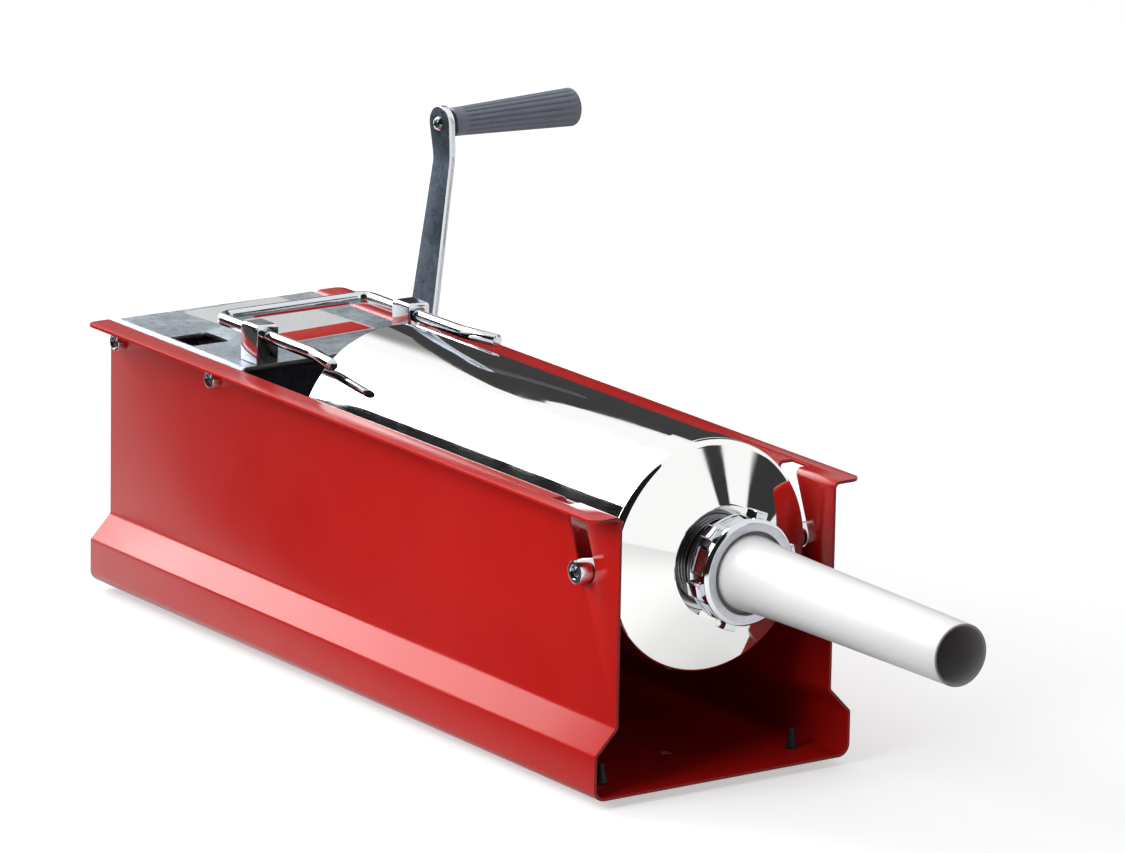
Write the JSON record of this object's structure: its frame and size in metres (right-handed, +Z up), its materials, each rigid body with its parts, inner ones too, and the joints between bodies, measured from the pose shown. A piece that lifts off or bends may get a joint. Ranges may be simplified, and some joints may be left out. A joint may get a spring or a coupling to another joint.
{
  "type": "sausage stuffer",
  "caption": "Horizontal hand-cranked sausage stuffer: a steel cylinder in a folded red trough, pressed by a geared rack and piston, with a nozzle held by a lugged ring nut.",
  "frame": {"origin": "centre of the sole of the front left rubber foot; the machine's centre plane is at x = 70 mm", "axes": "+Y to the rear, away from the nozzle, along the cylinder; +Z up; +X to the side that carries the crank"},
  "size_m": [0.3302, 0.797, 0.3091],
  "materials": {
    "red_paint": "powder coat, glossy",
    "stainless": "mirror-polished stainless steel",
    "chrome": "bright plating",
    "zinc_plate": "zinc plate, mottled grey-blue",
    "dark_steel": "dark, satin",
    "gear_steel": "bare machined steel",
    "bronze": "sintered bronze",
    "rubber": "matt black",
    "white_plastic": "smooth, near white",
    "grip_plastic": "satin grey-violet"
  },
  "bodies": {
    "machine": {"base_frame": "red_paint", "foot_front_left": "rubber", "foot_front_right": "rubber", "foot_rear_left": "rubber", "foot_rear_right": "rubber", "cylinder_saddle": "zinc_plate", "saddle_rivet_left": "gear_steel", "saddle_rivet_right": "gear_steel", "cylinder_tube": "stainless", "cylinder_cap": "stainless", "spout_neck": "stainless", "trunnion_left": "chrome", "trunnion_right": "chrome", "trunnion_screw_left": "chrome", "trunnion_screw_right": "chrome", "gearbox_housing": "zinc_plate", "gearbox_front_plate": "dark_steel", "gearbox_rear_plate": "zinc_plate", "rack_guide_front": "white_plastic", "rack_guide_rear": "white_plastic", "crank_bush_right": "bronze", "crank_bush_left": "bronze", "drive_bush_right": "bronze", "drive_bush_left": "bronze", "bail_block_left": "chrome", "bail_block_right": "chrome", "block_screw_left": "chrome", "block_screw_right": "chrome", "gearbox_stud_front_left": "chrome", "gearbox_stud_front_left_screw": "chrome", "gearbox_stud_front_right": "chrome", "gearbox_stud_front_right_screw": "chrome", "gearbox_stud_rear_left": "chrome", "gearbox_stud_rear_left_screw": "chrome", "gearbox_stud_rear_right": "chrome", "gearbox_stud_rear_right_screw": "chrome"},
    "rack": {"rack_bar": "gear_steel", "piston": "white_plastic", "piston_seal": "rubber", "piston_bolt": "chrome"},
    "drive": {"drive_shaft": "gear_steel", "rack_pinion": "gear_steel", "reduction_gear": "gear_steel", "drive_shaft_collar": "zinc_plate"},
    "crank": {"crank_shaft": "gear_steel", "crank_pinion": "gear_steel", "crank_shaft_collar": "zinc_plate", "crank_arm": "gear_steel", "crank_washer": "chrome", "crank_bolt": "chrome", "grip_spindle": "chrome", "grip_washer": "rubber"},
    "grip": {"grip": "grip_plastic"},
    "bail": {"lock_bail": "chrome"},
    "funnel": {"funnel": "white_plastic"},
    "nut": {"ring_nut": "chrome"}
  },
  "joints": [
    {"name": "crank_turn", "type": "hinge", "parent": "machine", "child": "crank", "pos_m": [0.07, 0.4465, 0.1035], "axis": [1, 0, 0], "range_deg": [0, 3706]},
    {"name": "rack_slide", "type": "slide", "parent": "machine", "child": "rack", "axis": [0, 1, 0], "range_m": [0, 0.3235]},
    {"name": "drive_turn", "type": "hinge", "parent": "machine", "child": "drive", "pos_m": [0.07, 0.4931, 0.115], "axis": [1, 0, 0], "range_deg": [-1236, 0]},
    {"name": "grip_spin", "type": "hinge", "parent": "crank", "child": "grip", "pos_m": [0.17, 0.47532, 0.29636], "axis": [1, 0, 0], "continuous": true},
    {"name": "bail_slide", "type": "slide", "parent": "machine", "child": "bail", "axis": [0, 1, 0], "range_m": [0, 0.044]},
    {"name": "nut_turn", "type": "hinge", "parent": "funnel", "child": "nut", "pos_m": [0.07, -0.042, 0.138], "axis": [0, -1, 0], "range_deg": [0, 1260]},
    {"name": "funnel_slide", "type": "slide", "parent": "machine", "child": "funnel", "axis": [0, -1, 0], "range_m": [0, 0.0106]}
  ],
  "couplings": [
    {"joint": "rack_slide", "follows": "crank_turn", "m_per_rad": 0.005},
    {"joint": "drive_turn", "follows": "crank_turn", "ratio": -0.33333},
    {"joint": "funnel_slide", "follows": "nut_turn", "m_per_rad": 0.00047746}
  ]
}
